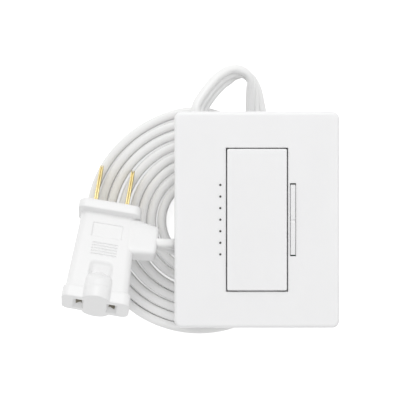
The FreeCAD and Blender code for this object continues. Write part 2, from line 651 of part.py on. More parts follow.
# Plug: its own frame has the blades along +Y and its front along +Z
coil_top = size("cover_seat") - size("housing_depth") - size("foot_show")
tilt = math.radians(size("plug_tilt"))
tip_level = coil_top + 0.3 + size("blade_width") / 2 * math.cos(tilt)
plug_place = FreeCAD.Placement(
    Vector(-size("plug_across"), size("plug_along"), tip_level + size("blade_length") * math.sin(tilt)),
    FreeCAD.Rotation(Vector(0, 0, 1), -size("plug_turn")).multiply(
        FreeCAD.Rotation(Vector(1, 0, 0), -size("plug_tilt"))))

plug = new_body("plug_body")
lip = sketch(plug, "flange_face", "XZ_Plane")
soft_rectangle(lip, "sizes.flange_width", "sizes.flange_depth", "sizes.plug_corner")
pad(plug, "blade_flange", lip, "sizes.flange_height")
neck = sketch(plug, "neck_outline", "XZ_Plane", lift="sizes.flange_height")
soft_rectangle(neck, "sizes.neck_width", "sizes.neck_depth", "sizes.plug_corner")
tail = sketch(plug, "tail_outline", "XZ_Plane", lift="sizes.body_length")
soft_rectangle(tail, "sizes.tail_width", "sizes.tail_depth", "sizes.plug_corner")
loft(plug, "grip", neck, tail)
ring = sketch(plug, "collar_outline", "XZ_Plane", lift="sizes.body_length")
soft_rectangle(ring, "sizes.collar_width", "sizes.collar_depth", "sizes.plug_corner")
pad(plug, "collar", ring, "sizes.collar_height")
elbow = sketch(plug, "arm_outline", "YZ_Plane", across="-sizes.arm_place", lift="sizes.arm_reach")
rectangle(elbow, "sizes.arm_length", "sizes.arm_depth")
pad(plug, "cord_arm", elbow, "sizes.arm_reach - sizes.neck_width / 3", True)
reach = size("arm_reach")
round_edges(plug, "arm_corners", "2.0", along(0, lambda lo, hi: hi[0] > reach - 0.5))
tunnel = sketch(plug, "tunnel_outline", "XZ_Plane", lift="sizes.body_length + sizes.collar_height")
circle(tunnel, "2 * sizes.tunnel_radius")
pad(plug, "tunnel_ridge", tunnel, "sizes.tunnel_length", True)
scoop = sketch(plug, "scoop_place", lift="sizes.tail_depth / 2 + 1",
               up="-sizes.body_length - sizes.collar_height + sizes.tunnel_length + 1.4")
rectangle(scoop, "9.6", "4.6")
pocket(plug, "scoop", scoop, "2.2")
for mark, sign in (("left", "-"), ("right", "")):
    place = sign + "sizes.blade_spacing / 2"
    mouth = sketch(plug, "funnel_mouth_" + mark, "XZ_Plane", across=place, lift="sizes.body_length + sizes.collar_height")
    rectangle(mouth, "sizes.funnel_width", "sizes.funnel_height")
    throat = sketch(plug, "funnel_throat_" + mark, "XZ_Plane", across=place,
                    lift="sizes.body_length + sizes.collar_height - sizes.funnel_depth")
    rectangle(throat, "sizes.slot_width", "sizes.slot_height")
    loft(plug, "funnel_" + mark, mouth, throat, True)
    doc.recompute()
    bore = sketch(plug, "slot_" + mark, "XZ_Plane", across=place,
                  lift="sizes.body_length + sizes.collar_height - sizes.funnel_depth")
    rectangle(bore, "sizes.slot_width", "sizes.slot_height")
    pocket(plug, "blade_slot_" + mark, bore, "sizes.slot_depth - sizes.funnel_depth")
    root = sketch(plug, "root_" + mark, "XZ_Plane", across=place)
    rectangle(root, "sizes.blade_thick", "sizes.blade_width")
    pocket(plug, "blade_root_" + mark, root, "sizes.blade_root", True)
plug.Placement = plug_place
parts.append(plug)

# Folded brass blades with the standard hole near the tip
for mark, sign in (("left", "-"), ("right", "")):
    blade = new_body("blade_" + mark)
    strip = sketch(blade, "strip_" + mark, "XZ_Plane", across=sign + "sizes.blade_spacing / 2", lift="-sizes.blade_length")
    rectangle(strip, "sizes.blade_thick", "sizes.blade_width")
    pad(blade, "leaf_" + mark, strip, "sizes.blade_length + sizes.blade_root")
    nose = size("blade_length")
    round_edges(blade, "nose_" + mark, "1.6", lambda edge: edge.BoundBox.YMin > nose - 0.01 and edge.BoundBox.XLength > 1)
    hole = sketch(blade, "hole_" + mark, "YZ_Plane", across="sizes.blade_length - 3.9", lift="sizes.blade_spacing")
    circle(hole, "3.2")
    pocket(blade, "crimp_hole_" + mark, hole, "2 * sizes.blade_spacing")
    blade.Placement = plug_place
    parts.append(blade)

# Receptacle contacts: a sprung strip on one wall of each slot
contacts = []
for k, sign in enumerate(("-", "")):
    wall = "%ssizes.blade_spacing / 2 - sizes.slot_width / 2" % sign
    strip = block("contact_%d" % k, "0.4", "sizes.slot_depth - sizes.funnel_depth - 3", "sizes.slot_height - 1.2", wall,
                  "-sizes.body_length - sizes.collar_height + sizes.funnel_depth + 3", "-sizes.slot_height / 2 + 0.6")
    contacts.append(strip)
grips = compound("receptacle_contacts", contacts)
grips.Placement = plug_place
parts.append(grips)

# Coil: one closed ring of the wound cord's outer shape, standing on the narrow edge of the cord
ring = new_body("cord_coil")
outer = sketch(ring, "coil_outline", lift=HOUSING_BACK + " - sizes.foot_show - sizes.cord_width",
               across="-sizes.coil_across", up="-sizes.coil_along")
circle(outer, "2 * sizes.coil_radius")
pad(ring, "coil_disc", outer, "sizes.cord_width")
eye = sketch(ring, "coil_eye", lift=HOUSING_BACK + " - sizes.foot_show", across="-sizes.hole_across", up="sizes.hole_along")
circle(eye, "2 * sizes.hole_radius")
pocket(ring, "coil_hole", eye, "sizes.cord_width")
doc.recompute()
base = ring.Tip
rims = ["Edge%d" % (k + 1) for k, edge in enumerate(base.Shape.Edges)
        if edge.BoundBox.ZLength < 0.01 and edge.BoundBox.XLength > 2 * size("hole_radius") + 5]
soft = ring.newObject("PartDesign::Fillet", "coil_rounding")
soft.Base = (base, rims)
soft.setExpression("Radius", "sizes.cord_thick * 0.45")
ring.Tip = soft
parts.append(ring)

# Points of the cord's two free stretches, in the order the cord runs
LOOP = [
    (-20.6, 37.0, -1.5), (-22.8, 42.4, -1.8), (-19.6, 50.9, -4.2), (-14.3, 57.3, -7.0), (-8.4, 60.8, -9.8),
    (-2.8, 59.5, -12.5), (-0.4, 54.2, -14.8), (-0.1, 47.2, -16.6), (0.4, 39.9, -17.6), (2.8, 34.1, -17.7),
    (6.6, 30.2, -17.75),
]
LEAD = [
    (-44.3, -9.1, 1.69), (-35.6, -10.5, 1.9), (-30.0, -10.2, -3.0), (-27.7, -9.0, -10.6), (-24.4, -7.4, -16.2),
    (-18.2, -6.3, -17.6), (-14.6, -5.4, -17.7),
]


# Straight runs joined by arcs as large as the two runs beside each corner allow
def route(points):
    spots = [Vector(*p) for p in points]
    edges = []
    last = spots[0]
    radii = []
    for k in range(1, len(spots) - 1):
        before = spots[k] - spots[k - 1]
        after = spots[k + 1] - spots[k]
        angle = before.getAngle(after)
        cut = 0.45 * min(before.Length, after.Length)
        radii.append(cut / math.tan(angle / 2))
        a = spots[k] - Vector(before).normalize() * cut
        b = spots[k] + Vector(after).normalize() * cut
        bend = (Vector(after).normalize() - Vector(before).normalize()).normalize()
        out = radii[-1] * (1 / math.cos(angle / 2) - 1)
        edges.append(Part.LineSegment(last, a).toShape())
        edges.append(Part.Arc(a, spots[k] + bend * out, b).toShape())
        last = b
    edges.append(Part.LineSegment(last, spots[-1]).toShape())
    return Part.Wire(edges), radii


# A plain round tube of the same section area as the flat three-conductor cord
tube_radius = math.sqrt(size("cord_thick") * size("cord_width") * 0.9 / math.pi)
for name, points in (("cord_loop", LOOP), ("cord_lead", LEAD)):
    wire, radii = route(points)
    first = wire.Edges[0]
    start = first.Vertexes[0].Point
    aim = first.tangentAt(first.FirstParameter)
    disc = Part.Wire([Part.Circle(start, aim, tube_radius).toShape()])
    tube = wire.makePipeShell([disc], True, False)
    item = doc.addObject("Part::Feature", name)
    item.Label = name
    item.Shape = tube
    parts.append(item)
    wanted = math.pi * tube_radius ** 2 * wire.Length
    print(name, "length %.1f" % wire.Length, "volume / expected %.4f" % (tube.Volume / wanted),
          "radii", ["%.1f" % r for r in radii])

doc.recompute()
for item in doc.Objects:
    if "Invalid" in item.State or "Error" in item.State:
        raise RuntimeError("%s: %s" % (item.Name, item.State))
for item in parts:
    shape = item.Shape
    if shape.isNull() or not shape.isValid():
        raise RuntimeError(item.Label + " has no valid shape")
for item in parts:
    item.Shape.exportStep("parts/%s.step" % item.Label)
box = Part.makeCompound([item.Shape for item in parts]).BoundBox
print(len(parts), "nodes", box)
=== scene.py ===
# %% [markdown]
# # A plug-in lamp dimmer, dressed for a photograph
#
# The solids of this part come from a CAD model. They have the right sizes and they move, but they look like
# grey blocks. This script is a lesson in dressing them: it adds the flat cord, the moulded plug and the folded
# brass blades as worked-out surfaces, gives every piece a procedural material, and sets up light and camera.
#
# Everything is in metres, in the CAD's own frame: X to the right of the plate, Y to its top, Z out of its
# front. Tables of sizes are in millimetres and are multiplied by MM where they become points.

import json
import math

import bpy
import numpy as np
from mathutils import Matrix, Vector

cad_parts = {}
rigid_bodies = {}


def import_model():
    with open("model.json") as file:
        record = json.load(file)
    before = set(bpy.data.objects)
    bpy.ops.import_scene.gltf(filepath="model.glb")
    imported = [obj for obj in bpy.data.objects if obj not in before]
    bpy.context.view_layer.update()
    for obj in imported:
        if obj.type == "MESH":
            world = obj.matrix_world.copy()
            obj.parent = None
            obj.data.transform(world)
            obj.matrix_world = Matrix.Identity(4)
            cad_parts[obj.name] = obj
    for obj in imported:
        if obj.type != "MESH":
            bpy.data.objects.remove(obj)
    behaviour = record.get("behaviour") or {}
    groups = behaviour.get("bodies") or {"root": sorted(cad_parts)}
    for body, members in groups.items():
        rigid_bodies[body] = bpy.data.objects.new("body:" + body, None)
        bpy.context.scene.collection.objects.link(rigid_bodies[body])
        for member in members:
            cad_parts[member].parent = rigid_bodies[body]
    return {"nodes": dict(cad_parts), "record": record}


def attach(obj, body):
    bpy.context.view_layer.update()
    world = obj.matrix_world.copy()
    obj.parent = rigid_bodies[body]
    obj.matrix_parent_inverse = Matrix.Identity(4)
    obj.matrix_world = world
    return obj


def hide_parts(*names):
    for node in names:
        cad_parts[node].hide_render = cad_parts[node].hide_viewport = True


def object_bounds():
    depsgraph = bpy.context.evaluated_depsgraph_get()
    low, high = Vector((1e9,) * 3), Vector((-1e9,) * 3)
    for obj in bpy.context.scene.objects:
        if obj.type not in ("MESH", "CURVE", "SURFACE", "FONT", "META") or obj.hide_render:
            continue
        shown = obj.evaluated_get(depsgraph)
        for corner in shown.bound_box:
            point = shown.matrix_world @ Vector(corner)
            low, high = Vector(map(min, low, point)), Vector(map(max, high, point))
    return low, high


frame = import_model()
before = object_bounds()
nodes = frame["nodes"]
scene = bpy.context.scene
MM = 0.001

# %% [markdown]
# ## The camera
#
# The photograph looks straight down on the object, and the plug's blade spacing gives 0.397 mm a pixel at the
# plate's front. A long lens 1.5 m up has almost no perspective, as in such product photographs. A camera
# without any turn looks down -Z with +Y up, so only its place and its lens are set: the lens is the sensor's
# width times the height over the width that the picture shows.

# %%
PICTURE = 400  # pixels
PIXEL = 0.397 * MM  # at the plate's front
PLATE_FRONT = 12.2 * MM
HEIGHT = 1.5
AXIS = (-22.63 * MM, 7.82 * MM)  # the point under the photograph's centre

camera = bpy.data.objects.new("camera", bpy.data.cameras.new("camera"))
camera.location = (*AXIS, PLATE_FRONT + HEIGHT)
camera.data.sensor_width = 36.0
camera.data.lens = camera.data.sensor_width * HEIGHT / (PICTURE * PIXEL)
camera.data.clip_end = 10.0
scene.collection.objects.link(camera)
scene.camera = camera
print(f"lens {camera.data.lens:.1f} mm")

# %% [markdown]
# ## Rings into a surface
#
# Each new piece here is made of rows of closed rings, like the hoops of a barrel. One function joins ring to
# ring with quads. It closes both ends with a fan to the ring's own middle, or joins the last ring to the first,
# so that every surface is watertight.


# %%
def barrel(name, shells, body, material, wrap=False):
    """shells is a list of arrays (n, m, 3) in metres, each n closed rings of m points. Point j of ring i joins
    j + 1 and the same two of ring i + 1. Each end ring's mean point closes it with a fan of triangles, or with
    wrap the last ring joins the first. The volume is a sixth of the sum over the triangles p, q, r of
    p . (q x r), and its sign tells which way the faces look."""
    points, faces, volume, first = [], [], 0.0, 0
    for rings in shells:
        n, m, _ = rings.shape
        ends = [] if wrap else [rings[:1].mean(1), rings[-1:].mean(1)]
        here = np.concatenate([rings.reshape(-1, 3), *ends])
        i, j = np.meshgrid(np.arange(n if wrap else n - 1), np.arange(m), indexing="ij")
        beside, below = (j + 1) % m, (i + 1) % n
        quads = np.stack([i * m + j, i * m + beside, below * m + beside, below * m + j], -1).reshape(-1, 4)
        fans = np.empty((0, 3), int)
        if not wrap:
            a = np.arange(m)
            b, last_ring = (a + 1) % m, (n - 1) * m
            fans = np.concatenate([np.stack([b, a, np.full(m, n * m)], -1),
                                   np.stack([last_ring + a, last_ring + b, np.full(m, n * m + 1)], -1)])
        triangles = np.concatenate([quads[:, :3], quads[:, [0, 2, 3]], fans])
        p, q, r = (here[triangles[:, corner]] for corner in range(3))
        middle = here.mean(0)
        cross = np.cross(q - middle, r - middle)
        inside = float(np.einsum("ij,ij->i", p - middle, cross).sum() / 6)
        if inside < 0:
            quads, fans = quads[:, ::-1], fans[:, ::-1]
        points.append(here)
        faces += (quads + first).tolist() + (fans + first).tolist()
        volume, first = volume + abs(inside), first + len(here)
    mesh = bpy.data.meshes.new(name)
    mesh.from_pydata(np.concatenate(points).tolist(), [], faces)
    mesh.polygons.foreach_set("use_smooth", np.ones(len(mesh.polygons), dtype=bool))
    mesh.update()
    piece = bpy.data.objects.new(name, mesh)
    scene.collection.objects.link(piece)
    mesh.materials.append(material)
    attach(piece, body)
    print(f"{name}: {len(mesh.polygons)} faces, {volume * 1e6:.2f} ml")
    return piece


# %% [markdown]
# ## Nodes for materials
#
# Four small functions build node trees: a new material, a noise, and two ways to turn a number between 0 and 1
# into something else, a colour or another number.


# %%
def shader(name):
    """A new material with its node tree, its Principled shader and its object coordinates."""
    material = bpy.data.materials.new(name)
    material.use_nodes = True
    tree = material.node_tree
    coordinates = tree.nodes.new("ShaderNodeTexCoord").outputs["Object"]
    return material, tree, tree.nodes["Principled BSDF"], coordinates


def noise(tree, coordinates, scale, detail=2.0):
    """Noise with features about 1 / scale metres wide; its output is near 0.5, from about 0.25 to 0.75."""
    node = tree.nodes.new("ShaderNodeTexNoise")
    node.inputs["Scale"].default_value = scale
    node.inputs["Detail"].default_value = detail
    tree.links.new(coordinates, node.inputs["Vector"])
    return node.outputs["Fac"]


def ramp(tree, value, low, high, span=(0.3, 0.7)):
    """A colour that goes from low to high as the value crosses the span."""
    node = tree.nodes.new("ShaderNodeValToRGB")
    for stop, where, colour in zip(node.color_ramp.elements, span, (low, high)):
        stop.position = where
        stop.color = (*colour, 1.0)
    tree.links.new(value, node.inputs["Fac"])
    return node.outputs["Color"]


def spread(tree, value, low, high, span=(0.3, 0.7)):
    """A number that goes from low to high as the value crosses the span."""
    node = tree.nodes.new("ShaderNodeMapRange")
    for socket, number in zip(("From Min", "From Max", "To Min", "To Max"), (*span, low, high)):
        node.inputs[socket].default_value = number
    tree.links.new(value, node.inputs["Value"])
    return node.outputs["Result"]


# %% [markdown]
# ## Materials
#
# Moulded plastic is never one even colour: it has a fine spark-eroded grain and slow changes of gloss. Both
# come from noise in object coordinates, so they stay put on the piece. Values that are the same all over go
# straight onto the shader's sockets.

# %%
SLOW_SCALE = 60.0  # one slow change of colour and gloss in 17 mm
GLOSS_VARIES = 0.08
COAT_ROUGHNESS = 0.25
GLOW_REACH = 2.0 * MM


def finish_of(name, colour, roughness, grain=0.0, grain_scale=6000.0, vary=0.03, metallic=0.0, coat=0.0,
              stretch=None, glow=0.0):
    """colour is the linear base colour; vary is how far slow noise darkens it; grain is the bump's height in
    metres; stretch scales the coordinates first, which draws the grain out into brush marks; glow is the share
    of light that goes into the plastic and comes out up to GLOW_REACH away, as white plastic's does."""
    material, tree, principled, coordinates = shader(name)
    if stretch:
        mapping = tree.nodes.new("ShaderNodeMapping")
        mapping.inputs["Scale"].default_value = stretch
        tree.links.new(coordinates, mapping.inputs["Vector"])
        coordinates = mapping.outputs["Vector"]
    slow = noise(tree, coordinates, SLOW_SCALE)
    darker = tuple(c * (1 - vary) for c in colour)
    gloss = spread(tree, slow, roughness * (1 - GLOSS_VARIES), roughness * (1 + GLOSS_VARIES))
    tree.links.new(ramp(tree, slow, darker, colour), principled.inputs["Base Color"])
    tree.links.new(gloss, principled.inputs["Roughness"])
    principled.inputs["Metallic"].default_value = metallic
    principled.inputs["Coat Weight"].default_value = coat
    principled.inputs["Coat Roughness"].default_value = COAT_ROUGHNESS
    principled.inputs["Subsurface Weight"].default_value = glow
    principled.inputs["Subsurface Radius"].default_value = (1.0, 1.0, 1.0)
    principled.inputs["Subsurface Scale"].default_value = GLOW_REACH
    if grain:
        bump = tree.nodes.new("ShaderNodeBump")
        bump.inputs["Strength"].default_value = 1.0
        bump.inputs["Distance"].default_value = grain
        tree.links.new(noise(tree, coordinates, grain_scale, 1.0), bump.inputs["Height"])
        tree.links.new(bump.outputs["Normal"], principled.inputs["Normal"])
    return material


# %% [markdown]
# ## A look for each slot
#
# The record names a material slot for each piece. Here each slot gets its look, and one more look is painted shade
# for the depth of the plug's slots. Then every CAD piece takes the look of its slot.

# %%
WHITE = (0.87, 0.87, 0.875)
looks = {
    "plate_plastic": finish_of("plate plastic", WHITE, 0.42, 4e-6, 5000.0, 0.015, glow=0.4),
    "housing_plastic": finish_of("housing plastic", (0.80, 0.80, 0.81), 0.5, 6e-6, 4000.0, 0.03),
    "key_plastic": finish_of("key plastic", WHITE, 0.38, 3e-6, 5000.0, 0.015, glow=0.3),
    "frame_plastic": finish_of("frame plastic", (0.90, 0.90, 0.90), 0.55, 5e-6, 4000.0, glow=0.3),
    "pipe_plastic": finish_of("light pipe", (0.06, 0.055, 0.05), 0.2, 0.0, 4000.0, 0.1, coat=0.5),
    "led": finish_of("light lens", (0.80, 0.78, 0.62), 0.25, 0.0, 4000.0, 0.08, coat=0.3),
    "board": finish_of("solder mask", (0.03, 0.16, 0.06), 0.4, 8e-6, 1500.0, 0.25, coat=0.3),
    "black_plastic": finish_of("black plastic", (0.022, 0.022, 0.024), 0.5, 6e-6, 3500.0, 0.2),
    "aluminium": finish_of("mill aluminium", (0.72, 0.72, 0.73), 0.38, 5e-6, 3000.0, 0.06,
                           metallic=1.0, stretch=(1.0, 12.0, 1.0)),
    "copper_wire": finish_of("copper winding", (0.62, 0.24, 0.09), 0.32, 6e-5, 900.0, 0.25,
                             metallic=0.8, coat=0.5),
    "capacitor": finish_of("capacitor dip", (0.48, 0.09, 0.04), 0.25, 1e-5, 700.0, 0.15, coat=0.4),
    "fuse_body": finish_of("fuse ceramic", (0.78, 0.75, 0.66), 0.45, 4e-6, 3000.0, 0.05),
    "steel": finish_of("zinc plated steel", (0.60, 0.61, 0.62), 0.33, 6e-6, 2500.0, 0.12, metallic=1.0),
    "rubber": finish_of("foot rubber", (0.32, 0.32, 0.33), 0.75, 1.5e-5, 3000.0, 0.12),
    "cord_vinyl": finish_of("cord vinyl", (0.89, 0.89, 0.885), 0.36, 5e-6, 2500.0, 0.03),
    "plug_vinyl": finish_of("plug vinyl", (0.86, 0.86, 0.86), 0.40, 6e-6, 3000.0, 0.03),
    # painted shade: a dark brown colour for the faces deep in the plug's slots
    "slot_depth": finish_of("slot painted shade", (0.34, 0.31, 0.25), 0.5, 6e-6, 2500.0, 0.3),
    "brass": finish_of("stamped brass", (0.68, 0.57, 0.29), 0.30, 6e-6, 2500.0, 0.12,
                       metallic=1.0, stretch=(8.0, 1.0, 1.0)),
}
for part in frame["record"]["subparts"]:
    piece = nodes[part["node"]]
    material = looks[part["material_slot"]]
    if not piece.material_slots:
        piece.data.materials.append(material)
    for held in piece.material_slots:
        held.material = material
print("materials:", len(looks))

# %% [markdown]
# ## The plug's own frame
#
# The plug lies beside the dimmer, turned in the picture and tilted, with its blades on the coil. Its frame has
# x across it, s down from the blade side of its flange to its end, and z out of its front. As in the CAD, it is
# turned 9.55 degrees and tilted 25. Its origin lies 1.7 mm further up the picture than the solid's, and its
# axis leans by 1.6 % towards the coil, which is what the photograph shows.

# %%
TURN, TILT = math.radians(9.55), math.radians(25.0)
PLUG_X = np.array([math.cos(TURN), -math.sin(TURN), 0.0])
PLUG_Y = np.array([math.sin(TURN) * math.cos(TILT), math.cos(TURN) * math.cos(TILT), -math.sin(TILT)])
PLUG_Z = np.cross(PLUG_X, PLUG_Y)
PLUG_ORIGIN = np.array([-58.41, 5.2, -3.0])
LEAN = 0.016


def placed(x, s, z):
    """Points of the plug's frame, in mm, as points of the part's frame, in metres."""
    x = x + LEAN * np.maximum(s, 0.0)
    return (PLUG_ORIGIN + x[..., None] * PLUG_X - s[..., None] * PLUG_Y + z[..., None] * PLUG_Z) * MM


def rise(value, start, end):
    """Zero before start, one after end, and the smooth cubic 3 t^2 - 2 t^3 between; end may be below start."""
    t = np.clip((value - start) / (end - start), 0.0, 1.0)
    return t * t * (3 - 2 * t)


def window(value, low, high, wall):
    """One between low and high, with smooth walls inside both."""
    return rise(value, low, low + wall) * rise(value, high, high - wall)


print("the plug's front looks along", PLUG_Z.round(2).tolist())

# %% [markdown]
# ## The plug's reliefs
#
# Small reliefs are added to the plug's front: the bare label recess, five grip grooves, a thumb scoop, and the
# ridge that runs from the scoop to the end. The back has the same ridge. Each is a height over x and s, in mm.

# %%
LABEL = (-5.8, 6.4, 9.35, 15.8)  # left, right, top, bottom; it stays bare
LABEL_DEEP, LABEL_WALL = 0.5, 0.28
GROOVES = 18.6 + 1.25 * np.arange(5)
GROOVE_DEEP, GROOVE_LIP, GROOVE_FOOT = 0.55, 0.38, 0.12  # depth, half width at the lip and at the foot
GROOVE_LEFT, GROOVE_RIGHT, GROOVE_END = -4.9, 5.4, 0.3
SCOOP_MIDDLE, SCOOP_HALF, SCOOP_TOP, SCOOP_CORNER = 0.2, 4.75, 26.1, 2.4
SCOOP_SHALLOW, SCOOP_FALL, SCOOP_SLOPE = 0.35, 2.3, 5.0  # depth at its top, what it gains, over what length
SCOOP_FADE = (36.0, 31.0)
RIDGE_MIDDLE, RIDGE_HALF, RIDGE_TALL = 0.2, 5.25, 3.7
RIDGE_DOME, DOME_LONG = 36.5, 5.8  # where the ridge has its full width, and how far its round start reaches
COLLAR_TOP, COLLAR_STEP = 38.6, 0.35


def ridge(x, s):
    """An elliptic cylinder along s with a rounded start: the height is RIDGE_TALL times the power 0.55 of
    1 - (x / half)^2 - (distance above the dome's foot / DOME_LONG)^2, where that is positive."""
    above = np.maximum(RIDGE_DOME - s, 0.0) / DOME_LONG
    inside = np.clip(1 - (np.abs(x - RIDGE_MIDDLE) / RIDGE_HALF) ** 2 - above**2, 0.0, None)
    return (RIDGE_TALL - COLLAR_STEP * (s < COLLAR_TOP)) * inside**0.55


def relief(x, s):
    """What is added to the front's height: minus label, grooves and scoop, plus the ridge. The scoop is cut
    where a box with round upper corners is: its distance is hypot(side, up) minus the corner's radius."""
    left, right, top, bottom = LABEL
    label = LABEL_DEEP * window(x, left, right, LABEL_WALL) * window(s, top, bottom, LABEL_WALL)
    near = np.abs(s[..., None] - GROOVES).min(-1)
    across = window(x, GROOVE_LEFT, GROOVE_RIGHT, GROOVE_END)
    grooves = GROOVE_DEEP * rise(near, GROOVE_LIP, GROOVE_FOOT) * across
    side = np.maximum(np.abs(x - SCOOP_MIDDLE) - SCOOP_HALF + SCOOP_CORNER, 0)
    up = np.maximum(SCOOP_TOP + SCOOP_CORNER - s, 0)
    wall = rise(np.hypot(side, up) - SCOOP_CORNER, 0.3, -1.7)
    floor_depth = SCOOP_SHALLOW + SCOOP_FALL * np.clip((s - SCOOP_TOP) / SCOOP_SLOPE, 0.0, 1.0)
    scoop = floor_depth * wall * rise(s, *SCOOP_FADE)
    return ridge(x, s) - label - grooves - scoop


print("grooves at", GROOVES.tolist(), "mm")

# %% [markdown]
# ## The plug's body
#
# One closed skin: rings down the plug, each a flat box with round sides, and then rings that shrink across the
# end face. A table gives the half width and half depth at each station, so the flange, the wedge of the grip
# and the collar come from numbers. The end face sinks in at the two slots: a funnel first, then a deep bore.

# %%
STATIONS = np.array([  # s, half width, half depth
    (0.70, 11.8, 6.0), (0.82, 12.3, 6.5), (1.15, 12.6, 6.8), (1.60, 12.7, 6.9), (4.15, 12.7, 6.9),
    (4.60, 12.6, 6.8), (4.80, 12.4, 6.6), (4.86, 12.2, 6.4), (4.90, 11.7, 3.9), (5.10, 11.3, 3.5),
    (5.50, 11.15, 3.35), (38.5, 12.75, 6.2), (38.9, 13.35, 6.4), (39.5, 13.65, 6.55), (43.5, 13.7, 6.6),
    (43.9, 13.6, 6.5), (44.1, 13.35, 6.25)])
PLUG_END = 44.1
SIDE_ROUND = 3.0
RELIEF_FROM = (5.6, 7.0)
FRONT, BACK, CAP = 112, 44, 64  # points on the front and on the back of a ring, and rings on the end face
MOUTH_AT, MOUTH_HALF, MOUTH_TALL = 6.7, 2.1, 4.2  # the funnels' places and their half sizes
FUNNEL_SIDE, FUNNEL_LOW, FUNNEL_HIGH = 1.0, 2.0, 0.4  # how wide each of its slopes is
FUNNEL_DEEP, BORE_DEEP = 1.9, 7.0


def half_depth(s):
    """The half depth at s, from the table."""
    return np.interp(s, STATIONS[:, 0], STATIONS[:, 2])


def body_rings(s):
    """Rings at each s: x goes from -a to a along the front and back again; the half depth b is rounded off near
    x = a by a quarter circle, z = b - r + root(r^2 - (|x| - a + r)^2). A sine law puts more points near a."""
    a = np.interp(s, STATIONS[:, 0], STATIONS[:, 1])
    b = half_depth(s)
    r = np.minimum(SIDE_ROUND, b - 0.05)
    u = np.concatenate([np.linspace(-1, 1, FRONT, endpoint=False), np.linspace(1, -1, BACK, endpoint=False)])
    is_front = np.arange(FRONT + BACK) < FRONT
    x = a[:, None] * (0.6 * u + 0.4 * np.sin(u * np.pi / 2))
    over = np.clip(np.abs(x) - (a - r)[:, None], 0.0, r[:, None])
    z = (b - r)[:, None] + np.sqrt(np.clip(r[:, None] ** 2 - over**2, 0.0, None))
    down = np.broadcast_to(s[:, None], x.shape)
    shown = rise(s, *RELIEF_FROM)[:, None]
    z = np.where(is_front, z + relief(x, down) * shown, -z - ridge(x, down) * shown)
    return x, down, z


s = np.unique(np.concatenate([STATIONS[:, 0], np.linspace(5.5, 9.0, 7), np.arange(9.0, 24.6, 0.14),
                              np.arange(24.6, 38.4, 0.3), np.linspace(38.4, 44.1, 22)]))
x, down, z = body_rings(s)
share = np.linspace(1, 0.02, CAP)[1:, None]
cap_x, cap_z = x[-1] * share, z[-1] * share
near = np.abs(np.abs(cap_x) - MOUTH_AT)
slopes = [(MOUTH_HALF - near) / FUNNEL_SIDE, (cap_z + MOUTH_TALL) / FUNNEL_LOW, (MOUTH_TALL - cap_z) / FUNNEL_HIGH]
funnel = np.minimum.reduce(slopes)
sunk = FUNNEL_DEEP * np.clip(funnel, 0.0, 1.0) + BORE_DEEP * rise(funnel, 1.0, 1.25)
body = placed(np.concatenate([x, cap_x]), np.concatenate([down, PLUG_END - sunk]), np.concatenate([z, cap_z]))
print("body:", body.shape[0], "rings of", body.shape[1])

# %% [markdown]
# ## The plug's side arm
#
# The cord enters the plug through an arm on its right. It is a box that tapers a little outwards, with its
# front level with the wedge of the grip, so no step shows between them. Its rings go across it, and its end is
# rounded by shrinking the last rings along a quarter circle.

# %%
ARM_START, ARM_END, ARM_ROUND, ARM_POWER = 4.0, 20.8, 1.4, 7
ARM_TOP = np.array([(4.0, 5.2), (12.3, 5.0), (13.6, 5.5), (ARM_END, 6.9)])  # x, s
ARM_LOW = np.array([(4.0, 20.6), (12.0, 20.4), (ARM_END, 19.3)])
ARM_PROUD, ARM_SINK, ARM_BACK = 0.05, 0.9, 4.1  # over the wedge, under it inside the body, and the back's depth
ARM_RINGS, ARM_POINTS, ARM_STEPS = 26, 96, 9


def arm_rings():
    """Rings along x; each is a superellipse in s and z, |c|^7 + |w|^7 = 1, whose front follows the wedge."""
    t = np.linspace(0, np.pi / 2, ARM_STEPS)[1:]
    straight = np.linspace(ARM_START, ARM_END - ARM_ROUND, ARM_RINGS)
    x = np.concatenate([straight, ARM_END - ARM_ROUND + ARM_ROUND * np.sin(t)])
    inset = np.concatenate([np.zeros(ARM_RINGS), ARM_ROUND * (1 - np.cos(t))])
    top = np.interp(x, *ARM_TOP.T) + inset
    low = np.interp(x, *ARM_LOW.T) - inset
    v = np.linspace(0, 2 * np.pi, ARM_POINTS, endpoint=False)
    c, w = np.cos(v), np.sin(v)
    size = (np.abs(c) ** ARM_POWER + np.abs(w) ** ARM_POWER) ** (-1 / ARM_POWER)
    c, w = c * size, w * size
    s = (top + low)[:, None] / 2 + (low - top)[:, None] / 2 * c
    front = half_depth(s) + ARM_PROUD - ARM_SINK * rise(x, 10.0, 5.0)[:, None] - inset[:, None]
    back = ARM_BACK - inset[:, None]
    z = np.where(w > 0, front * w, back * w)
    return placed(np.broadcast_to(x[:, None], s.shape), s, z)


plug = barrel("moulded_plug", [body, arm_rings()], "base", looks["plug_vinyl"])

# %% [markdown]
# The faces of the end that lie deep in the slots get a dark brown painted shade, which stands for the shade inside
# the bore. The body's quads come first in the mesh, ring by ring, so the depth of each quad is the deepest of its
# four corners.

# %%
SHADE_PAINTED_FROM = 2.3  # mm below the end face
depth = np.concatenate([np.zeros((len(s), FRONT + BACK)), sunk])
edge = np.maximum(depth, np.roll(depth, -1, 1))
deep = np.maximum(edge[:-1], edge[1:]).ravel() > SHADE_PAINTED_FROM
dark = np.zeros(len(plug.data.polygons), dtype=np.int32)
dark[: len(deep)] = deep
# the second material slot paints shade onto the deep faces of the slots
plug.data.materials.append(looks["slot_depth"])
plug.data.polygons.foreach_set("material_index", dark)
print("faces in the slots:", int(deep.sum()))
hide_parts("plug_body")

# %% [markdown]
# ## The brass blades
#
# A blade is one strip folded back on itself, so its edge is two leaves with a dark seam between them, and it
# has the standard hole near its tip. Its surface is a ring around the hole: every point of the outline is
# joined to the hole's edge in its own direction, on both sides, and the seam is a groove round the edge.

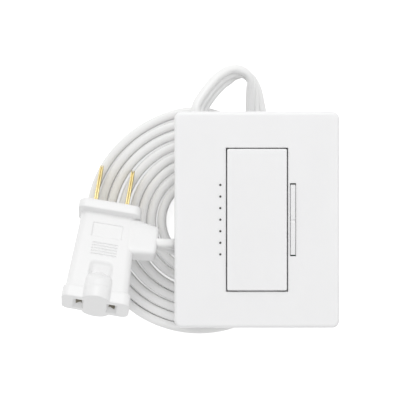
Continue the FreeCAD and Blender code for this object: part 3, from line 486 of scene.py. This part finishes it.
# %%
BLADE_AT = 6.35  # from the plug's middle
BLADE_LONG, BLADE_WIDE, BLADE_THICK = 16.6, 6.35, 1.5
BLADE_ROOT, BLADE_NOSE = 6.0, 1.5  # how far it goes into the plug, and its cut corners
HOLE_FROM_TIP, HOLE_RADIUS = 3.9, 1.6
RIM, RIM_POINTS = 0.25, 192


def blade_rings(across):
    """The outline is a box from inside the flange to the tip, whose two tip corners are cut at 45 degrees. Each
    of its points p meets the hole's edge in its own direction h. The section from h to p and back is a list of
    (end, steps, thickness): end 0 is h and 1 is p, steps are of RIM mm from h towards p, and thickness is the
    place across the blade. It has flat faces, round rims, and a groove at the outer rim."""
    half, tip = BLADE_WIDE / 2, -BLADE_LONG
    corners = np.array([(BLADE_ROOT, -half), (BLADE_ROOT, half), (tip + BLADE_NOSE, half), (tip, half - BLADE_NOSE),
                        (tip, BLADE_NOSE - half), (tip + BLADE_NOSE, -half), (BLADE_ROOT, -half)])
    along = np.concatenate([[0], np.cumsum(np.linalg.norm(np.diff(corners, axis=0), axis=1))])
    at = np.linspace(0, along[-1], RIM_POINTS, endpoint=False)
    outer = np.stack([np.interp(at, along, corners[:, k]) for k in (0, 1)], -1)
    centre = np.array([tip + HOLE_FROM_TIP, 0.0])
    away = outer - centre
    span = np.linalg.norm(away, axis=1, keepdims=True)
    hole = centre + away / span * HOLE_RADIUS
    step = RIM / (span - HOLE_RADIUS)
    t = BLADE_THICK / 2
    there = [(0, 0, t * 0.6), (0, 1, t), (1, -1, t), (1, -0.3, t * 0.93), (1, 0, t * 0.6), (1, 0, 0.2), (1, -3, 0.06)]
    section = there + [(end, steps, -thick) for end, steps, thick in reversed(there)]
    share = np.stack([end + steps * step[:, 0] for end, steps, _ in section], 1)
    flat = hole[:, None] + (outer - hole)[:, None] * share[..., None]
    x = across + np.broadcast_to(np.array([thick for _, _, thick in section]), share.shape)
    return placed(x, flat[..., 0], flat[..., 1])


for name, across in (("blade_left", -BLADE_AT), ("blade_right", BLADE_AT)):
    leaf = barrel("folded_" + name, [blade_rings(across)], "base", looks["brass"], wrap=True)
    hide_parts(name)

# %% [markdown]
# ## The cord's line
#
# The flat cord is one line from the strain relief to the plug: a loop above the plate, a loose spiral on the
# floor, and a short lead up to the plug's arm. Its points are the control points of one smooth NURBS spline.
# The loop and the lead follow the photograph, near the CAD's own route, and their heights are guessed. The
# spiral's turns are radii at seven directions of the clock. Those at 193, 283 and 347 degrees are set so that
# the turns lie where the photograph shows them, left of the plate. The others carry the spiral on behind the
# plate, where only the outermost turn's top edge shows. A quadratic spline cuts inside its control points:
# halfway between two of them it is at the cosine of half a step times their radius, so the radii are divided
# by that.

# %%
LOOP = [(-20.6, 37.0, -1.5), (-24.6, 42.0, -1.8), (-19.7, 50.1, -4.2), (-14.4, 56.2, -7.0), (-8.7, 59.4, -9.8),
        (-2.9, 58.1, -12.5), (-1.0, 53.2, -14.8), (-0.3, 46.8, -16.6), (0.4, 39.9, -17.6), (2.8, 34.1, -17.7)]
LEAD = [(-20.0, -10.4, -17.6), (-24.6, -11.0, -15.0), (-28.4, -10.6, -8.0), (-31.4, -10.4, -1.4),
        (-35.6, -10.5, 1.9), (-44.3, -9.1, 1.69)]
TURN_PIXEL = 0.405  # mm a pixel at the cord's height on the floor
CENTRE = (-22.63, -0.29, -17.8)
CLOCK = (45, 90, 135, 193, 283, 347, 362)  # degrees clockwise from the image's top
RADII = [  # pixels, a row for each turn from the outside
    (104.3, 105.5, 108.0, 109.3, 109.9, 106.6, 110.4),
    (94.6, 96.3, 98.8, 100.4, 99.4, 97.3, 98.5),
    (85.4, 87.4, 89.7, 90.9, 89.9, 87.8, 88.5),
    (76.2, 78.4, 80.6, 81.5, 77.7, 77.9, 78.5),
    (67.0, 69.1, 71.4, 72.9, 65.8, 68.3, 68.9),
    (57.8, 59.0, 60.8, 60.8, 57.0, 58.9, 59.4),
    (48.6, 50.0, 51.2, 51.0, 47.8, 49.0, 49.0),
    (39.2, 40.2, 41.0, 40.3, 37.6, 39.7, 38.5),
    (30.0, 27.0, 27.2),
]
COIL_FROM, STEP = 60.0, 30.0

angle = np.array([a + 360 * k for k, row in enumerate(RADII) for a in CLOCK[: len(row)]], float)
radius = np.array([r for row in RADII for r in row])
turns = np.arange(COIL_FROM, angle[-1] + 1, STEP)
reach = np.interp(turns, angle, radius) * TURN_PIXEL / math.cos(math.radians(STEP / 2))
clock = np.radians(turns)
level = np.full(len(turns), CENTRE[2])
coil = np.stack([CENTRE[0] + reach * np.sin(clock), CENTRE[1] + reach * np.cos(clock), level], -1)
control = np.concatenate([LOOP, coil, LEAD]) * MM
print("control points:", len(control))

# %% [markdown]
# Blender works out the spline itself. The curve has no bevel, so its mesh is the row of points along it, which
# is read once; then the curve is removed again.

# %%
curve = bpy.data.curves.new("cord line", "CURVE")
curve.dimensions = "3D"
curve.resolution_u = 8
spline = curve.splines.new("NURBS")
spline.points.add(len(control) - 1)
spline.points.foreach_set("co", np.concatenate([control, np.ones((len(control), 1))], 1).ravel())
spline.order_u = 3
spline.use_endpoint_u = True
line = bpy.data.objects.new("cord line", curve)
scene.collection.objects.link(line)
bpy.context.view_layer.update()
read = bpy.data.meshes.new_from_object(line)
path = np.empty(len(read.vertices) * 3)
read.vertices.foreach_get("co", path)
path = path.reshape(-1, 3)
bpy.data.objects.remove(line)
bpy.data.meshes.remove(read)

# %% [markdown]
# ## The cord's surface
#
# Such a cord is three round wires side by side in one white jacket. Its outline is three circles joined softly
# at their valleys. A flat cord bends only about its thin way, so it also has a side that it turns: each part of
# the route says which way the outline's wide direction points, and the numbers between are blended.

# %%
WIDE, THICK = 9.2 * MM, 3.6 * MM
PITCH = (WIDE - THICK) / 2
SQUARE_ENDS = 0.8
NOTCH_DEEP, NOTCH_WIDE = 0.3, 0.35 * MM


def lobes(arc, middle):
    """The cord's outline, (2 * arc + 2 * middle, 2): the right lobe's arc from valley to valley, the middle
    lobe's top, the left lobe's arc and the middle lobe's foot. Points are c + r (cos, sin). The cosine and sine
    of the outer halves are raised to 0.8, which squares the ends a little, and each valley is sunk by the bell
    exp(-(distance / width)^2)."""
    r = THICK / 2
    valley = math.acos(PITCH / 2 / r)
    right = np.linspace(valley - np.pi, np.pi - valley, arc)
    top = np.linspace(valley, np.pi - valley, middle + 2)[1:-1]
    angles = np.concatenate([right, top, right + np.pi, top + np.pi])
    centres = np.repeat([PITCH, 0.0, -PITCH, 0.0], [arc, middle, arc, middle])
    c, h = np.cos(angles), np.sin(angles)
    outer = c * centres > 0
    c = np.where(outer, np.sign(c) * np.abs(c) ** SQUARE_ENDS, c)
    h = np.where(outer, np.sign(h) * np.abs(h) ** SQUARE_ENDS, h)
    t = centres + r * c
    notch = 1 - NOTCH_DEEP * np.exp(-(((np.abs(t) - PITCH / 2) / NOTCH_WIDE) ** 2))
    return np.stack([t, r * h * notch], -1)


def leaning(azimuth, tilt):
    """The wide direction, from the lobe near the camera to the one deep down: tilt degrees off the straight way
    down, towards azimuth degrees from +X."""
    a, t = math.radians(azimuth), math.radians(tilt)
    return (math.sin(t) * math.cos(a), math.sin(t) * math.sin(a), -math.cos(t))


outline = lobes(20, 8)
print("outline:", len(outline), "points")

# %% [markdown]
# The table says at which control point the cord leans which way. At each point of the path the wide direction
# is the blended one minus its share along the path, and the thin direction is square to both.

# %%
DOWN = leaning(0, 0)
last = len(control) - 1
TWIST = [(0, leaning(-40, 35)), (3.2, leaning(-40, 35)), (4.1, leaning(-42, 24)), (4.6, leaning(-34, 14)),
         (5.1, leaning(-16, 17)), (5.8, leaning(-4, 31)), (6.5, leaning(-4, 43)), (7.4, leaning(-4, 62)),
         (8.2, leaning(-4, 58)), (9.5, leaning(-5, 20)), (11, DOWN), (last - 5, DOWN),
         (last - 3, leaning(-90, 24)), (last - 2, leaning(-90, 34)), (last - 1, leaning(-90, 22)),
         (last, leaning(-90, 8))]
at = np.linspace(0, last, len(path))
keys = np.array([key for key, _ in TWIST], float)
way = np.array([direction for _, direction in TWIST])
wide = np.stack([np.interp(at, keys, way[:, axis]) for axis in range(3)], -1)
tangent = np.gradient(path, axis=0)
tangent /= np.linalg.norm(tangent, axis=1, keepdims=True)
wide -= (wide * tangent).sum(1, keepdims=True) * tangent
wide /= np.linalg.norm(wide, axis=1, keepdims=True)
thin = np.cross(tangent, wide)
rings = path[:, None] + outline[None, :, :1] * wide[:, None] + outline[None, :, 1:] * thin[:, None]
cord = barrel("flat_cord", [rings], "base", looks["cord_vinyl"])
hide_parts("cord_loop", "cord_coil", "cord_lead")

# %% [markdown]
# ## The floor and the world
#
# The photograph has a pure white ground. The floor is a plain pale one that keeps the object's shadow, and it
# glows a little for the camera and for reflections alone, so that it reads as white without more light on the
# object. The world does the same for what shiny brass reflects.

# %%
FLOOR_HALF, FLOOR_GLOW = 3.0, 0.75
WORLD_LIGHT, WORLD_SEEN = 0.74, 1.0


def seen(tree):
    """One for the rays that the camera, a shiny surface or a clear one sends, zero for the light on matt ones."""
    rays = tree.nodes.new("ShaderNodeLightPath")
    value = rays.outputs["Is Camera Ray"]
    for kind in ("Is Glossy Ray", "Is Transmission Ray"):
        either = tree.nodes.new("ShaderNodeMath")
        either.operation = "MAXIMUM"
        tree.links.new(value, either.inputs[0])
        tree.links.new(rays.outputs[kind], either.inputs[1])
        value = either.outputs[0]
    return value


low = before[0][2] - 0.1 * MM
floor_mesh = bpy.data.meshes.new("floor")
floor_mesh.from_pydata([(-FLOOR_HALF, -FLOOR_HALF, low), (FLOOR_HALF, -FLOOR_HALF, low),
                        (FLOOR_HALF, FLOOR_HALF, low), (-FLOOR_HALF, FLOOR_HALF, low)], [], [(0, 1, 2, 3)])
floor = bpy.data.objects.new("floor", floor_mesh)
scene.collection.objects.link(floor)
paint, tree, principled, coordinates = shader("floor paper")
paper = ramp(tree, noise(tree, coordinates, 3.0), (0.80, 0.80, 0.80), (0.82, 0.82, 0.82))
tree.links.new(paper, principled.inputs["Base Color"])
tree.links.new(spread(tree, seen(tree), 0.0, FLOOR_GLOW, (0.0, 1.0)), principled.inputs["Emission Strength"])
principled.inputs["Emission Color"].default_value = (1, 1, 1, 1)
principled.inputs["Roughness"].default_value = 0.9
floor_mesh.materials.append(paint)

world = bpy.data.worlds.new("studio")
world.use_nodes = True
scene.world = world
tree = world.node_tree
sky = tree.nodes["Background"]
tree.links.new(spread(tree, seen(tree), WORLD_LIGHT, WORLD_SEEN, (0.0, 1.0)), sky.inputs["Strength"])
sky.inputs["Color"].default_value = (1, 1, 1, 1)
print(f"floor at {low * 1e3:.1f} mm")

# %% [markdown]
# ## The lamps
#
# The photograph's light is soft and comes from the picture's top. A square key lamp stands there, and a larger
# and weaker one high over the object lifts the shade.

# %%
AIM = (-0.02, 0.0, 0.0)


def lamp(name, place, aim, power, size):
    """A square area lamp at place, in metres, that looks at aim."""
    data = bpy.data.lights.new(name, "AREA")
    data.energy, data.size = power, size
    item = bpy.data.objects.new(name, data)
    item.location = place
    gaze = np.array(aim) - np.array(place)
    flat = math.hypot(gaze[0], gaze[1])
    item.rotation_euler = (math.atan2(flat, -gaze[2]), 0.0, math.atan2(gaze[1], gaze[0]) - math.pi / 2)
    scene.collection.objects.link(item)
    print(f"{name}: {power} W")


lamp("key_lamp", (-0.08, 0.95, 1.05), AIM, 5.5, 0.6)
lamp("top_lamp", (0.0, 0.1, 1.4), AIM, 1.2, 0.9)
scene.view_settings.view_transform = "Standard"
